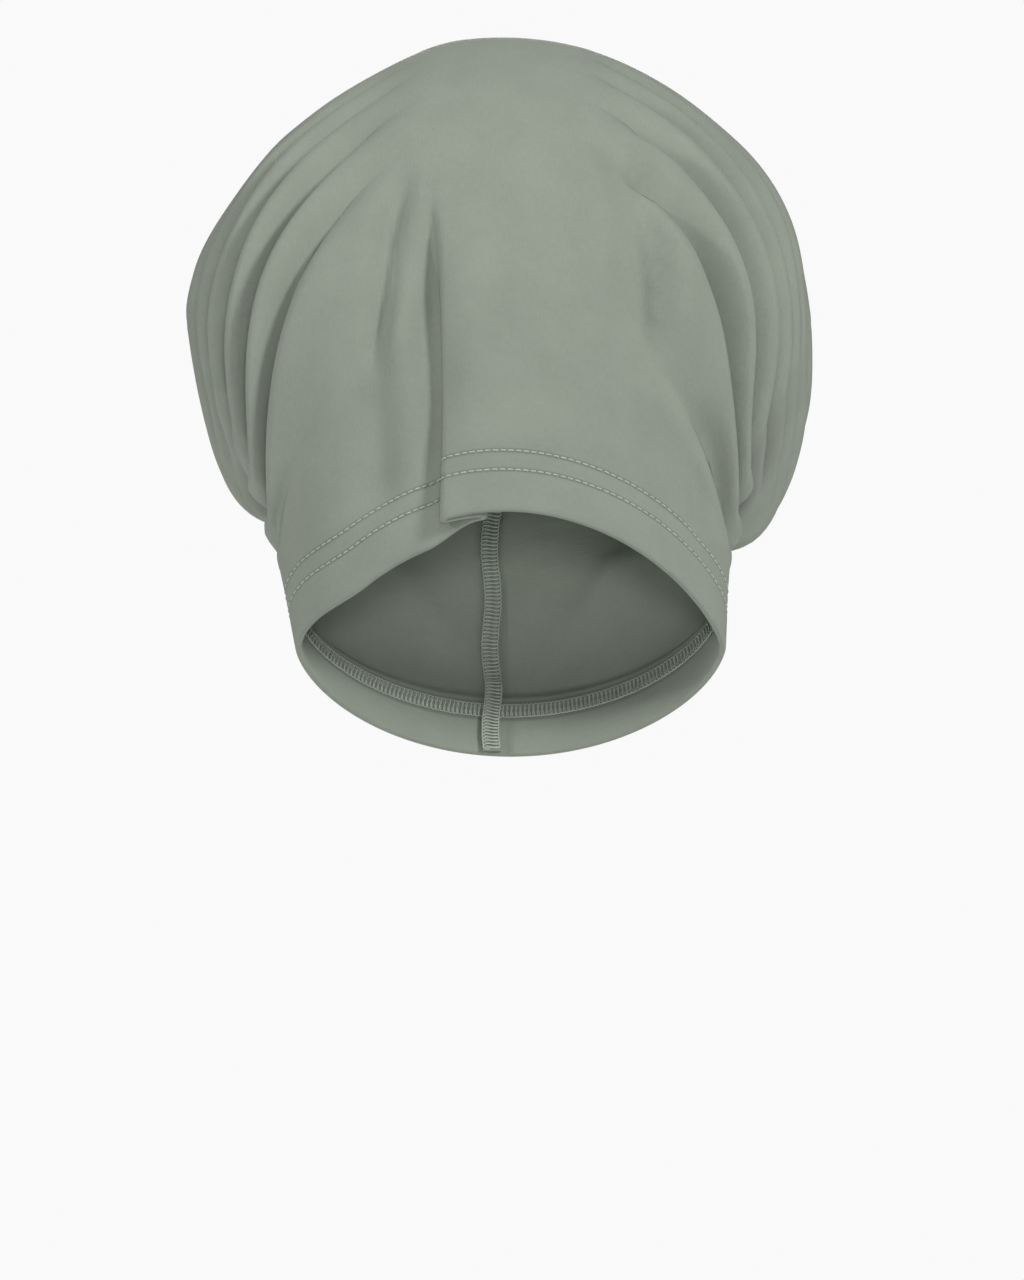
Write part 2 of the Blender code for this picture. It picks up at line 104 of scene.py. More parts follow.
# Gathers: the ridge of each side fold runs from its place on the crown's middle line, where it is flat, down
# both sides, where it is deepest and swept back towards the tail, and dies out at the nape. Places are
# shares of the way along the tube, heights are shares of FOLD_HEIGHT.
GATHERS = [
    # on_crown, on_left, on_right, left_height, right_height
    (HEM_SHARE, HEM_SHARE, HEM_SHARE, 0.00, 0.00),
    (0.135, 0.155, 0.155, 0.25, 0.25),
    (0.200, 0.250, 0.250, 0.40, 0.40),
    (0.260, 0.345, 0.345, 0.55, 0.55),
    (0.315, 0.435, 0.435, 0.75, 0.65),
    (0.370, 0.525, 0.525, 0.90, 0.75),
    (0.425, 0.610, 0.610, 1.00, 0.90),
    (0.480, 0.685, 0.685, 1.00, 0.90),
    (0.530, 0.748, 0.748, 0.95, 1.00),
    (0.575, 0.802, 0.800, 0.75, 1.00),
    (0.630, 0.848, 0.848, 0.55, 0.90),
    (0.695, 0.886, 0.886, 0.25, 0.60),
    (0.855, 0.914, 0.914, 0.00, 0.00),
    (1 - HEM_SHARE, 1 - HEM_SHARE, 1 - HEM_SHARE, 0.00, 0.00),
]
VALLEY_DEPTH = 0.55       # how much of each fold's height lies inside the plain tube, as a valley
VALLEY_SHARE = 0.62       # where a valley lies between two ridges, from the face side one to the rear one
VALLEY_SHARPNESS = 0.65   # 1 is round, less is a rounder ridge over a sharper valley
STEEPEST_FOLD = 0.90      # greatest depth of a fold, as a share of the room between its ridges
FOLD_ROOM = 0.0065        # distance between ridges at which no fold is left
FOLD_LEAN = 0.30          # how far a ridge leans over the valley before it, as a share of its height
SWEEP_START = 0.08        # how far round from the crown the folds begin to sweep back
SWEEP_FULL = 0.48         # where they have come to their places on the sides
SWEEP_END = 0.93          # where the rows of cloth are back in their places, short of the nape
SWEEP_POWER = 1.5         # 1 sweeps evenly, more sweeps later
GATHER_START = 0.08       # how far round from the crown the folds begin, as a share of the way to the nape
GATHER_FULL = 0.34        # where they are deepest
GATHER_EASE = 0.50        # where they begin to die out
GATHER_END = 0.76         # where they have died out

# Broad swells (+) and dents (-): centre and reach around and along, height as a share of SWELL_HEIGHT.
SWELLS = [
    # around, along, around_reach, along_reach, height
    (-0.25, 0.42, 0.21, 0.34, -1.05),
    (-0.38, 0.42, 0.12, 0.34, -0.55),
    (0.25, 0.42, 0.165, 0.32, -0.64),
    (0.20, 0.80, 0.07, 0.12, -0.25),
    (-0.56, 0.55, 0.18, 0.40, -0.20),
    (0.44, 0.55, 0.16, 0.30, -0.50),
]

NEAR_STEPS = 5            # columns of the right panel over the lap
HEM_ROWS = 10
RIM_STEPS = 6
RIM_BULGE = 0.7           # how far the cloth's folded ends bulge, as a share of half their thickness
STITCH_ROWS = (0.0385, 0.0570)   # the hem's two rows of stitches, as shares of the way in from the rim
STITCH_GROOVE = 0.00030   # how deep they lie
STITCH_GROOVE_WIDTH = 0.0016
GROOVE_REACH = 1.4        # length of the crown from rim to rim, as a share of CAP_DEPTH
HEM_CLIMB_ROWS = 3        # how many rows before a hem's edge the seam strip climbs onto it
LAST_RIDGE = len(GATHERS) - 1
JERSEY_LIGHT = (0.252, 0.276, 0.233, 1.0)
JERSEY_DARK = (0.158, 0.180, 0.147, 1.0)
GROOVE_PAINTED_SHADE = -0.6        # shade painted into the cloth's colour along the stitch rows, where their grooves lie: 1 is none at all


def ease(value):
    """0 below 0, 1 above 1, smooth between."""
    t = np.clip(value, 0.0, 1.0)
    return t * t * (3.0 - 2.0 * t)


def through(knots, values, x):
    """Smooth curve through a column of values, carried on straight past both ends."""
    slopes = np.gradient(values, knots)
    i = np.clip(np.searchsorted(knots, x, side="right") - 1, 0, len(knots) - 2)
    span = knots[i + 1] - knots[i]
    t = np.clip((x - knots[i]) / span, 0.0, 1.0)
    bend = span * (t * (1 - t) ** 2 * slopes[i] - t * t * (1 - t) * slopes[i + 1])
    past = (x - np.clip(x, knots[0], knots[-1])) * np.where(x > knots[-1], slopes[-1], slopes[0])
    return values[i] + t * t * (3 - 2 * t) * (values[i + 1] - values[i]) + bend + past


TABLE = np.array(SECTIONS)
SCALES = (1.0, CAP_DEPTH, CAP_HEIGHT, CAP_DEPTH, CAP_HEIGHT, CAP_WIDTH, CAP_WIDTH, 1.0, 1.0, 1.0, CAP_HEIGHT,
          CAP_HEIGHT)


def section(along):
    """The section table's columns after the first, in metres, at each place along the tube."""
    return [through(TABLE[:, 0], TABLE[:, k] * SCALES[k], along) for k in range(1, TABLE.shape[1])]


def sway(along):
    return section(along)[5]


def section_point(angle, along):
    """Point of the plain tube at an angle from the crown (0) to the nape (pi), before any fold."""
    crown_y, crown_z, nape_y, nape_z, half, aside, waist, crown_bend, nape_bend, left, right = section(along)
    lift = np.where(angle < 0, left, right)
    height = np.hypot(crown_y - nape_y, crown_z - nape_z)
    up_y = (crown_y - nape_y) / height
    up_z = (crown_z - nape_z) / height
    upward = np.abs(np.cos(angle))
    outward = np.abs(np.sin(angle))
    above = np.abs(angle) <= math.pi / 2
    x = half * np.where(above, outward, outward ** np.minimum(1.0, nape_bend))
    squared = 1 + CORNER_SQUARE * np.maximum(0.0, 1 - nape_bend) * (1 - upward)
    below = lift * upward ** 4 - (waist * height + lift) * squared * upward ** np.maximum(1.0, nape_bend)
    rise = waist * height + np.where(above, (1 - waist) * height * upward ** crown_bend, below)
    hang = (rise - np.hypot(rise, CORNER_EASE * lift)) / 2
    stand = rise - hang
    return np.stack([x * np.sign(angle) + aside, nape_y + stand * up_y,
                     nape_z + stand * up_z + hang + WALL / 2], -1)


ALONG_KNOTS = np.linspace(0.0, 1.05, 64)
SHARES = np.linspace(0.0, 1.0, 181)
ANGLES = np.linspace(0.0, math.pi, 361)
SIDES = {}
for way in (-1, 1):
    rings = section_point(way * ANGLES[None, :] + 0 * ALONG_KNOTS[:, None], ALONG_KNOTS[:, None])
    runs = np.cumsum(np.linalg.norm(np.diff(rings, axis=1, prepend=rings[:, :1]), axis=2), axis=1)
    SIDES[way] = runs[:, -1], np.array([np.interp(SHARES, run / run[-1], ANGLES) for run in runs])


def half_girth(along, way):
    """Length from the crown's middle line down the right (1) or left (-1) side to the nape's."""
    return np.interp(along, ALONG_KNOTS, SIDES[way][0])


def plain(around, along):
    """Point of the plain tube; around runs by length from the crown (0) to the nape (1 right, -1 left)."""
    around = np.where(np.abs(around) > 1, around - 2 * np.sign(around), around)
    row = np.clip(along / ALONG_KNOTS[-1], 0.0, 1.0) * (len(ALONG_KNOTS) - 1)
    column = np.abs(around) * (len(SHARES) - 1)
    i = np.minimum(row.astype(int), len(ALONG_KNOTS) - 2)
    j = np.minimum(column.astype(int), len(SHARES) - 2)
    p, q = row - i, column - j
    angle = 0
    for way, (_, table) in SIDES.items():
        near = table[i, j] * (1 - q) + table[i, j + 1] * q
        far = table[i + 1, j] * (1 - q) + table[i + 1, j + 1] * q
        angle = np.where(np.sign(around) == way, way * (near * (1 - p) + far * p), angle)
    return section_point(angle, along)


def unit(vectors):
    return vectors / np.maximum(np.linalg.norm(vectors, axis=-1, keepdims=True), 1e-9)


def plain_frame(around, along):
    """The plain tube's point, its outward direction and its direction towards the rear hem."""
    beside = plain(around + FRAME_STEP, along) - plain(around - FRAME_STEP, along)
    behind = plain(around, along + FRAME_STEP) - plain(around, np.maximum(along - FRAME_STEP, 0.0))
    return plain(around, along), unit(np.cross(behind, beside)), unit(behind)


def gather(column, ridge):
    """One column of the gather table at a place counted in ridges, smooth between them."""
    table = np.array(GATHERS)
    return through(np.arange(len(table)), table[:, column], ridge)


def fold_height(around, ridge, pitch):
    """How far the cloth stands out of the plain tube in the gathers, given the ridges' distance."""
    between = ridge - np.floor(ridge)
    rising = ease((between - VALLEY_SHARE) / (1 - VALLEY_SHARE))
    wave = np.where(between < VALLEY_SHARE, 1 - ease(between / VALLEY_SHARE), rising) ** VALLEY_SHARPNESS
    heights = np.array(GATHERS)[:, 3:]
    count = np.arange(len(heights))
    left, right = [np.interp(ridge, count, heights[:, k]) for k in range(2)]
    height = np.where(around < 0, left, right)
    reach = np.abs(around)
    grown = ease((reach - GATHER_START) / (GATHER_FULL - GATHER_START))
    faded = 1 - ease((reach - GATHER_EASE) / (GATHER_END - GATHER_EASE))
    free = FOLD_HEIGHT * height * grown * faded
    most = STEEPEST_FOLD * np.maximum(pitch - FOLD_ROOM, CLEARANCE)
    return (wave - VALLEY_DEPTH) * free / (1 + (free / most) ** 4) ** 0.25


def swell_height(around, along):
    """How far the cloth stands out of the plain tube in its broad swells and dents."""
    total = np.zeros(np.broadcast(around, along).shape)
    for centre_around, centre_along, around_reach, along_reach, height in SWELLS:
        off = np.hypot((around - centre_around) / around_reach, (along - centre_along) / along_reach)
        total += height * SWELL_HEIGHT * (1 - ease(off))
    return total


def inner_depth(along):
    """Depth of the cloth inside the middle of its outer layer: one layer, and two within each hem."""
    within_hem = (along < HEM_SHARE) | (along > 1 - HEM_SHARE)
    return WALL / 2 + np.where(within_hem, HEM_LAYER, 0.0)


def pleat_path(along):
    """The lapped pleat seen end on, from the right panel to the left: run around and height, for each row.

    It is one strip that turns back under the right panel, runs to the right by the lap, and turns again.
    Towards the crown the turns open and lengthen, until the pleat is only a soft wave, and then flat.
    """
    grown = (along - PLEAT_START) / PLEAT_GROWTH
    turn = (math.pi * ease(grown / PLEAT_TURNED))[:, None]
    lap = (PLEAT_LAP * ease((grown - PLEAT_LAPPING) / (1 - PLEAT_LAPPING)) + CLEARANCE)[:, None]
    tight = ease(grown)
    near_hem = ease((along - (1 - 2 * HEM_SHARE)) / HEM_SHARE)
    over_pitch = WALL + LAP_ROOM + 2 * HEM_LAYER * near_hem
    under_pitch = WALL + CLEARANCE
    over_turn = (PLEAT_SOFT_TURN * (1 - tight) + math.pi / 2 * over_pitch * tight)[:, None]
    under_turn = (PLEAT_SOFT_TURN * (1 - tight) + math.pi / 2 * under_pitch * tight)[:, None]
    middles = (np.arange(TURN_STEPS) + 0.5) / TURN_STEPS
    flat = np.ones(LAP_STEPS)
    heading = turn * np.concatenate([middles, flat, 1 - middles])
    length = np.concatenate([over_turn * np.ones(TURN_STEPS) / TURN_STEPS, lap * flat / LAP_STEPS,
                             under_turn * np.ones(TURN_STEPS) / TURN_STEPS], axis=1)
    start = np.zeros((len(along), 1))
    run = np.concatenate([start, -np.cumsum(length * np.cos(heading), axis=1)], axis=1)
    height = np.concatenate([start, -np.cumsum(length * np.sin(heading), axis=1)], axis=1)
    edge = -(PLEAT_PLACE + sway(along))[:, None] + over_turn / math.pi
    return edge + run, height - height[:, -1:]


def side_spread(count):
    """Column places from 0 to 1, closer together half way down the sides, where the folds are deep."""
    share = np.linspace(0.0, 1.0, count + 1)
    return share + COLUMN_CROWDING * np.sin(2 * math.pi * share)


# Creases that run out in the cloth: both ends, the width of the hollow, its depth, and the height of the soft
# ridge beside it (away from the crown's middle line if it is positive, towards that line if it is negative).
CREASES = [
    # around, along, to_around, to_along, width, depth, ridge
    (-0.112, 0.66, -0.190, 0.850, 0.0050, 0.0052, -0.0022),
    (-0.200, 0.80, -0.245, 0.965, 0.0100, 0.0044, 0.0000),
    (-0.092, 0.70, -0.112, 0.995, 0.0085, 0.0046, 0.0000),
    (0.115, 0.62, 0.235, 0.850, 0.0075, 0.0054, 0.0030),
    (0.050, 0.66, 0.075, 0.930, 0.0130, 0.0030, 0.0000),
    (0.330, 0.84, 0.400, 0.960, 0.0050, 0.0014, 0.0000),
    (-0.800, 0.80, -0.915, 0.900, 0.0060, 0.0020, 0.0000),
    (0.780, 0.80, 0.880, 0.890, 0.0060, 0.0020, 0.0000),
]
CREASE_START = 0.40       # share of a crease over which it grows
CREASE_END = 0.30         # share over which it runs out
RIDGE_ASIDE = 1.6         # how far the soft ridge lies beside the hollow, in widths of the hollow


def crease_height(around, along, girth):
    """How far the cloth dips and rises in its soft creases."""
    length = CAP_DEPTH + CAP_HEIGHT / 2
    total = np.zeros(np.broadcast(around, along).shape)
    for from_around, from_along, to_around, to_along, width, depth, ridge in CREASES:
        run_across = (to_around - from_around) * half_girth(from_along, 1)
        run = np.array([run_across, (to_along - from_along) * length])
        reach = np.linalg.norm(run)
        across = (around - from_around) * girth
        down = (along - from_along) * length
        share = (across * run[0] + down * run[1]) / reach ** 2
        aside = (across * run[1] - down * run[0]) / reach * np.sign(to_around)
        fade = ease(share / CREASE_START) * ease((1 - share) / CREASE_END)
        beside = (aside - np.sign(ridge) * RIDGE_ASIDE * width) / width
        total += fade * (abs(ridge) * np.exp(-beside ** 2) - depth * np.exp(-(aside / width) ** 2))
    return total


def row_places():
    """Rows counted in ridges, closer together towards each valley's bottom. The hems lie before the first
    ridge and after the last, with a close row where their second layer ends."""
    quarter = math.pi / 2 * np.linspace(0.0, 1.0, ROWS_PER_FOLD // 2, endpoint=False)
    before = VALLEY_SHARE * np.sin(quarter)
    after = 1 - (1 - VALLEY_SHARE) * np.cos(quarter)
    fold = np.concatenate([before, after])
    folds = np.concatenate([k + fold for k in range(LAST_RIDGE)])
    hem = np.concatenate([[EDGE_ROW], np.linspace(0.08, 1.0, HEM_ROWS)])
    return np.concatenate([-hem[::-1], folds, [LAST_RIDGE], LAST_RIDGE + hem])


def cloth_lines(ridge):
    """Lines around the cap in the middle of the outer layer of cloth, at places counted in ridges: points,
    places along and around, and where the line is hidden under the pleat's upper panel."""
    before, beyond = np.minimum(ridge, 0.0), np.maximum(ridge - LAST_RIDGE, 0.0)
    within = ridge - before - beyond
    rows, on_left, on_right = [gather(k, within) + HEM_SHARE * (before + beyond) for k in range(3)]
    girth = half_girth(rows, -1)[:, None]
    runs, heights = pleat_path(rows)
    pleat = runs / girth
    seam = 1 + (SEAM_PLACE + sway(rows))[:, None] / girth
    spread = side_spread(COLUMNS_EACH_SIDE)
    beyond_lap = pleat[:, :1] + PLEAT_LAP / girth
    right = beyond_lap + (seam - beyond_lap) * spread[None, ::-1]
    near = pleat[:, :1] + PLEAT_LAP / girth * np.linspace(1.0, 0.0, NEAR_STEPS + 1)[None, 1:-1]
    right = np.concatenate([right, near], axis=1)
    left = pleat[:, -1:] + (seam - 2 - pleat[:, -1:]) * spread[None, 1:-1]
    around = np.concatenate([right, pleat, left], axis=1)

    settled = ease((right - pleat[:, :1]) * girth / PLEAT_RISE)
    raised = np.concatenate([heights[:, :1] * (1 - settled), heights, 0 * left], axis=1)
    tucked = np.linspace(0.0, DROP_AT_PLEAT, pleat.shape[1]) + 0 * pleat
    clear = DROP_AT_PLEAT + (1 - DROP_AT_PLEAT) * ease((pleat[:, -1:] - left) * girth / (2 * PLEAT_LAP))
    clear = clear * (1 - ease((-left - DROP_SIDE) / DROP_SIDE_EASE))
    fall = np.concatenate([0 * right, tucked, clear], axis=1)
    fall = fall * PANEL_DROP * ease((rows[:, None] - DROP_START) / (1 - DROP_START))
    past_edge = np.arange(around.shape[1])[None, :] >= right.shape[1] + TURN_STEPS // 2
    hidden = past_edge & (around > pleat[:, :1]) & (rows[:, None] > PLEAT_START + PLEAT_GROWTH / 2)

    around = np.where(around > 1, around - 2, around)
    down = np.abs(around)
    swept = np.clip((down - SWEEP_START) / (SWEEP_FULL - SWEEP_START), 0.0, 1.0) ** SWEEP_POWER
    swept = swept * (1 - ease((down - SWEEP_FULL) / (SWEEP_END - SWEEP_FULL)))
    on_side = np.where(around < 0, on_left[:, None], on_right[:, None])
    along = rows[:, None] * (1 - swept) + on_side * swept

    point, outward, behind = plain_frame(around, along)
    pitch = np.linalg.norm(np.gradient(point, ridge, axis=0), axis=-1)
    fold = fold_height(around, within[:, None], pitch)
    outstanding = raised + fold + swell_height(around, along) + crease_height(around, along, girth)
    upright = ease((np.abs(around) - GATHER_FULL) / (GATHER_EASE - GATHER_FULL))
    rearward = fall - FOLD_LEAN * (1 - upright) * fold
    point = point + outward * outstanding[..., None] + behind * rearward[..., None]
    return point, along, around, hidden


def outward_directions(grid):
    """Outward direction at each point of a closed grid, from its neighbours."""
    beside = np.roll(grid, -1, axis=1) - np.roll(grid, 1, axis=1)
    behind = np.gradient(grid, axis=0)
    return unit(np.cross(beside, behind))


def skin(count, size):
    """Faces of a closed band of rings, each of the same size, whose last ring meets its first."""
    ring, place = np.meshgrid(np.arange(count), np.arange(size), indexing="ij")
    after, beside = (ring + 1) % count, (place + 1) % size
    corners = [ring * size + place, ring * size + beside, after * size + beside, after * size + place]
    return np.stack(corners, axis=-1).reshape(-1, 4)


def add_mesh(name, points, faces):
    """A smooth mesh piece from points and faces."""
    mesh = bpy.data.meshes.new(name)
    mesh.from_pydata(np.asarray(points, float).reshape(-1, 3).tolist(), [], faces)
    mesh.update()
    mesh.shade_smooth()
    piece = bpy.data.objects.new(name, mesh)
    bpy.context.collection.objects.link(piece)
    return piece


def rim_rings(outer, inner, before):
    """Rings that round a rim, from the last outer ring to the last inner one."""
    middle = (outer + inner) / 2
    half = (outer - inner) / 2
    away = unit(outer - before) * np.linalg.norm(half, axis=1, keepdims=True)
    turns = math.pi * np.arange(1, RIM_STEPS) / RIM_STEPS
    return np.stack([middle + half * math.cos(turn) + away * RIM_BULGE * math.sin(turn) for turn in turns])


ridge_rows = row_places()
middle, along, around, _ = cloth_lines(ridge_rows)
outward = outward_directions(middle)
near_rim = np.minimum(along, 1 - along)
from_rows = [(near_rim - share) * CAP_DEPTH * GROOVE_REACH / STITCH_GROOVE_WIDTH for share in STITCH_ROWS]
groove = sum(np.exp(-off ** 2) for off in from_rows)
outer = middle + outward * (WALL / 2 - STITCH_GROOVE * groove)[..., None]
inner = middle - outward * inner_depth(along)[..., None]
rear_rim = rim_rings(outer[-1], inner[-1], outer[-2])
face_rim = rim_rings(outer[0], inner[0], outer[1])
rings = np.concatenate([outer, rear_rim, inner[::-1], face_rim[::-1]])
jersey = add_mesh("jersey_cloth", rings, skin(*rings.shape[:2]).tolist())
across_cloth = around * half_girth(along, 1)
down_cloth = along * (CAP_DEPTH + CAP_HEIGHT / 2)
cloth_place = np.stack([across_cloth, down_cloth, 0 * down_cloth], axis=-1)
rim_place = [np.repeat(cloth_place[[k]], RIM_STEPS - 1, axis=0) for k in (-1, 0)]
cloth_place = np.concatenate([cloth_place, rim_place[0], cloth_place[::-1], rim_place[1]])
attribute = jersey.data.attributes.new("cloth_place", "FLOAT_VECTOR", "POINT")
attribute.data.foreach_set("vector", cloth_place.astype(np.float32).ravel())


class Wire:
    """An output socket of a shader node, with sums and products that add Math nodes."""

    def __init__(self, finish, socket):
        self.finish = finish
        self.socket = socket

    def math(self, operation, first, second):
        return self.finish.node("ShaderNodeMath", {"operation": operation}, {0: first, 1: second})

    def __add__(self, other):
        return self.math("ADD", self, other)

    def __radd__(self, other):
        return self.math("ADD", other, self)

    def __sub__(self, other):
        return self.math("SUBTRACT", self, other)

    def __rsub__(self, other):
        return self.math("SUBTRACT", other, self)

    def __mul__(self, other):
        return self.math("MULTIPLY", self, other)

    def __rmul__(self, other):
        return self.math("MULTIPLY", other, self)


class Finish:
    """A material, made from nodes, on one Principled shader."""

    def __init__(self, name, **sockets):
        self.material = bpy.data.materials.new(name)
        self.material.use_nodes = True
        self.tree = self.material.node_tree
        self.shader = self.tree.nodes["Principled BSDF"]
        for socket, value in sockets.items():
            self.set(socket.replace("_", " "), value)

    def node(self, kind, settings, sockets, output=0):
        """Adds a node: its type, its settings, the values or wires of its sockets, and the output wanted."""
        node = self.tree.nodes.new(kind)
        for setting, value in settings.items():
            setattr(node, setting, value)
        for socket, value in sockets.items():
            if isinstance(value, Wire):
                self.tree.links.new(value.socket, node.inputs[socket])
            else:
                node.inputs[socket].default_value = value
        return Wire(self, node.outputs[output])

    def set(self, socket, value):
        if isinstance(value, Wire):
            self.tree.links.new(value.socket, self.shader.inputs[socket])
        else:
            self.shader.inputs[socket].default_value = value

    def stretch(self, vector, scale):
        """A vector times a scale for each direction."""
        return self.node("ShaderNodeVectorMath", {"operation": "MULTIPLY"}, {0: vector, 1: scale})

    def noise(self, vector, scale, detail):
        """Noise from 0 to 1."""
        return self.node("ShaderNodeTexNoise", {}, {"Vector": vector, "Scale": scale, "Detail": detail})


jersey_finish = Finish(
    "jersey", Roughness=0.88, Sheen_Weight=0.06, Sheen_Roughness=0.45, Specular_IOR_Level=0.25)
place = jersey_finish.node("ShaderNodeAttribute", {"attribute_name": "cloth_place"}, {}, output="Vector")
wales = jersey_finish.noise(jersey_finish.stretch(place, (1 / 0.0007, 1 / 0.0024, 1.0)), 1.0, 1.0)
courses = jersey_finish.noise(jersey_finish.stretch(place, (1 / 0.0040, 1 / 0.0008, 1.0)), 1.0, 1.0)
fuzz = jersey_finish.noise(place, 2600.0, 2.0)
knit = wales * 0.5 + courses * 0.3 + fuzz * 0.2
mottle = jersey_finish.noise(place, 55.0, 3.0)
shade = knit * 0.55 + mottle * 0.45
down_wire = jersey_finish.node("ShaderNodeSeparateXYZ", {}, {"Vector": place}, output="Y")
cloth_length = CAP_DEPTH + CAP_HEIGHT / 2
from_rim = down_wire.math("MINIMUM", down_wire, cloth_length - down_wire)
lines = [from_rim.math("ABSOLUTE", from_rim - share * cloth_length, 0.0) for share in STITCH_ROWS]
to_line = from_rim.math("MINIMUM", *lines)
# Painted shade: along each row of stitches the cloth's colour is pulled towards the dark jersey, standing for the
# shade that falls in the stitches' grooves.
painted_groove_shade = jersey_finish.node("ShaderNodeMapRange", {}, {
    "Value": to_line, "From Min": STITCH_GROOVE_WIDTH * 0.15, "From Max": STITCH_GROOVE_WIDTH * 0.7,
    "To Min": GROOVE_PAINTED_SHADE, "To Max": 1.0})
shade = shade * painted_groove_shade
jersey_finish.set("Base Color", jersey_finish.node(
    "ShaderNodeMix", {"data_type": "RGBA"},
    {0: shade, "A": JERSEY_DARK, "B": JERSEY_LIGHT}, output="Result"))
jersey_finish.set("Normal", jersey_finish.node(
    "ShaderNodeBump", {}, {"Strength": 0.55, "Distance": 0.00035, "Height": knit}))
jersey.data.materials.append(jersey_finish.material)
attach(jersey, "root")
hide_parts("jersey_tube")

# The stitches outside the hems
# Each hem is turned in once and held by a twin-needle seam, in a thread dyed to match: two rows of short
# stitches 6.4 mm apart on the outside, lying in a slight groove.
STITCH_LENGTH = 0.0026    # from one stitch's start to the next one's
STITCH_SHOWN = 0.76       # share of it that the thread shows
THREAD_RADIUS = 0.00027
STITCH_ARCH = 0.00020     # how high a stitch's middle stands out of the cloth
THREAD_LIGHT = (0.400, 0.440, 0.375, 1.0)
THREAD_DARK = (0.290, 0.325, 0.270, 1.0)


def seam_line(share, side):
    """The line at a share of the way along the cap, on the outside (1) or the inside (-1) of the cloth."""
    from_edge = share - (1 - HEM_SHARE) if share > 0.5 else share - HEM_SHARE
    place = from_edge / HEM_SHARE + (LAST_RIDGE if share > 0.5 else 0)
    lines, along, _, hidden = cloth_lines(place + np.array([-0.08, 0.0, 0.08]))
    ways = outward_directions(lines)
    depth = WALL / 2 - STITCH_GROOVE if side > 0 else -inner_depth(along)[1][:, None]
    return lines[1] + ways[1] * depth, ways[1] * side, hidden[1]


def walk(points, ways, hidden, step):
    """Even places along a closed line: their points, outward and forward ways, and which are seen."""
    closed = np.concatenate([points, points[:1]])
    run = np.concatenate([[0.0], np.cumsum(np.linalg.norm(np.diff(closed, axis=0), axis=1))])
    count = int(run[-1] / step)
    stops = (np.arange(count) + 0.5) * run[-1] / count
    around_again = np.concatenate([ways, ways[:1]])
    spots = np.stack([np.interp(stops, run, closed[:, k]) for k in range(3)], axis=1)
    upward = unit(np.stack([np.interp(stops, run, around_again[:, k]) for k in range(3)], axis=1))
    ahead = unit(np.stack([np.interp(stops + step / 8, run, closed[:, k])
                           - np.interp(stops - step / 8, run, closed[:, k]) for k in range(3)], axis=1))
    under = np.interp(stops, run, np.concatenate([hidden, hidden[:1]]).astype(float)) > 0.0
    return spots, upward, ahead, ~under


def add_threads(name, paths, ups, radii, sides):
    """Round threads along paths (threads, points, xyz), with an up direction at each point, as one mesh."""
    ahead = unit(np.gradient(paths, axis=1))
    beside = unit(np.cross(ahead, ups))
    above = np.cross(beside, ahead)
    turns = 2 * math.pi * np.arange(sides) / sides
    rounds = beside[:, :, None] * np.cos(turns)[:, None] + above[:, :, None] * np.sin(turns)[:, None]
    points = paths[:, :, None] + rounds * radii[None, :, None, None]
    count, length = paths.shape[:2]
    faces = []
    for i in range(count):
        base = i * length * sides
        for j in range(length - 1):
            for k in range(sides):
                a, b = base + j * sides + k, base + j * sides + (k + 1) % sides
                faces.append((a, b, b + sides, a + sides))
        faces.append(tuple(base + k for k in range(sides))[::-1])
        faces.append(tuple(base + (length - 1) * sides + k for k in range(sides)))
    return add_mesh(name, points, faces)


thread_finish = Finish("hem_thread", Roughness=0.62, Sheen_Weight=0.10, Specular_IOR_Level=0.35)
spot = thread_finish.node("ShaderNodeNewGeometry", {}, {}, output="Position")
twist = thread_finish.noise(spot, 1800.0, 1.0)
thread_finish.set("Base Color", thread_finish.node(
    "ShaderNodeMix", {"data_type": "RGBA"},
    {0: twist, "A": THREAD_DARK, "B": THREAD_LIGHT}, output="Result"))
thread_finish.set("Normal", thread_finish.node(
    "ShaderNodeBump", {}, {"Strength": 0.4, "Distance": 0.0001, "Height": twist}))


def dress(piece, finish):
    """Gives a piece its material, and sets it on the cap."""
    piece.data.materials.append(finish.material)
    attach(piece, "root")
    return piece


def add_stitches(name, shares):
    """Rows of separate stitches on the outside of a hem."""
    paths, ups = [], []
    reach = STITCH_LENGTH * STITCH_SHOWN / 2 * np.array([-1.0, -0.8, -0.3, 0.3, 0.8, 1.0])
    lift = STITCH_ARCH * np.array([-1.2, 0.2, 1.0, 1.0, 0.2, -1.2])
    for share in shares:
        spots, upward, ahead, seen = walk(*seam_line(share, 1), STITCH_LENGTH)
        spots, upward, ahead = spots[seen], upward[seen], ahead[seen]
        paths.append(spots[:, None] + ahead[:, None] * reach[:, None] + upward[:, None] * lift[:, None])
        ups.append(np.repeat(upward[:, None], len(reach), axis=1))
    radii = THREAD_RADIUS * np.array([0.7, 0.95, 1.0, 1.0, 0.95, 0.7])
    return add_threads(name, np.concatenate(paths), np.concatenate(ups), radii, 6)


for end, shares in (("rear", [1 - share for share in STITCH_ROWS]), ("face", STITCH_ROWS)):
    dress(add_stitches(f"{end}_hem_stitches", shares), thread_finish)


# The cover stitch inside the hems
# On the inside the same seam is a band of looper thread, laid back and forth between the two needle rows
# over the raw edge of the turned-in cloth.
COVER_WIDTH = 0.0052
COVER_STEP = 0.0030
LOOP_POINTS = 14          # points on each loop of thread
LOOP_LEAN = 0.22          # how far the loops lean along the line, as a share of their step
LOOP_RISE = 1.1           # how far they rise over each other, in thread radii


